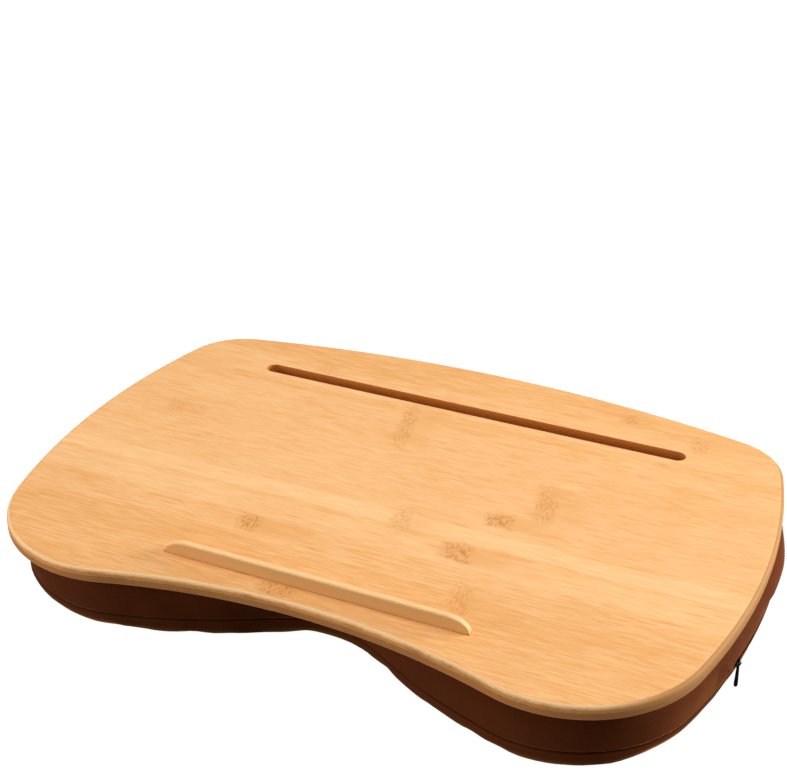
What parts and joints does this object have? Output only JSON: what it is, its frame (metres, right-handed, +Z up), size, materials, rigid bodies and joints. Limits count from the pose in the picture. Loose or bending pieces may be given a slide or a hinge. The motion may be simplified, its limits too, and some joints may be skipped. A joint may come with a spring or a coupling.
{
  "type": "lap desk",
  "caption": "Bamboo lap desk: hollow-fronted board with tablet slot and stop ledge, on a zipped foam cushion with an oval lap hollow.",
  "frame": {"origin": "on the surface that the cushion rests on, below the middle of the board's outline", "axes": "+X the sitting user's right, +Y away from the user (the slot's side), +Z up"},
  "size_m": [0.52, 0.3656, 0.08],
  "materials": {
    "bamboo": "satin lacquer over honey bamboo",
    "bamboo_back": "satin lacquer over honey bamboo",
    "knit": "fine brown stretch knit",
    "twill": "brown woven cloth",
    "foam": "open-cell foam, cream",
    "zip_nylon": "dark brown nylon",
    "zip_metal": "black enamel",
    "hook_tape": "black hook tape"
  },
  "bodies": {
    "desk": {"upper_ply": "bamboo", "lower_ply": "bamboo_back", "stop_ledge": "bamboo", "lap_panel": "knit", "side_band": "knit", "zip_panel_upper": "knit", "zip_panel_lower": "knit", "base_panel": "twill", "foam_core": "foam", "zip_tape_upper": "zip_nylon", "zip_tape_lower": "zip_nylon", "zip_teeth_upper": "zip_nylon", "zip_teeth_lower": "zip_nylon", "front_stop_upper": "zip_metal", "front_stop_lower": "zip_metal", "rear_stop": "zip_metal", "hook_strip_front_left": "hook_tape", "hook_strip_front_right": "hook_tape", "hook_strip_rear_left": "hook_tape", "hook_strip_rear_right": "hook_tape", "loop_strip_front_left": "twill", "loop_strip_front_right": "twill", "loop_strip_rear_left": "twill", "loop_strip_rear_right": "twill"},
    "slider": {"zip_slider": "zip_metal"},
    "pull": {"zip_pull": "zip_metal"}
  },
  "joints": [
    {"name": "zip_run", "type": "hinge", "parent": "desk", "child": "slider", "pos_m": [-0.17303, 0.00136, 0.04], "axis": [0, 0, 1], "range_deg": [0, 20.2]},
    {"name": "pull_swing", "type": "hinge", "parent": "slider", "child": "pull", "pos_m": [0.25809, -0.06098, 0.04], "axis": [-0.1431, -0.9897, 0], "range_deg": [-8, 150]}
  ]
}
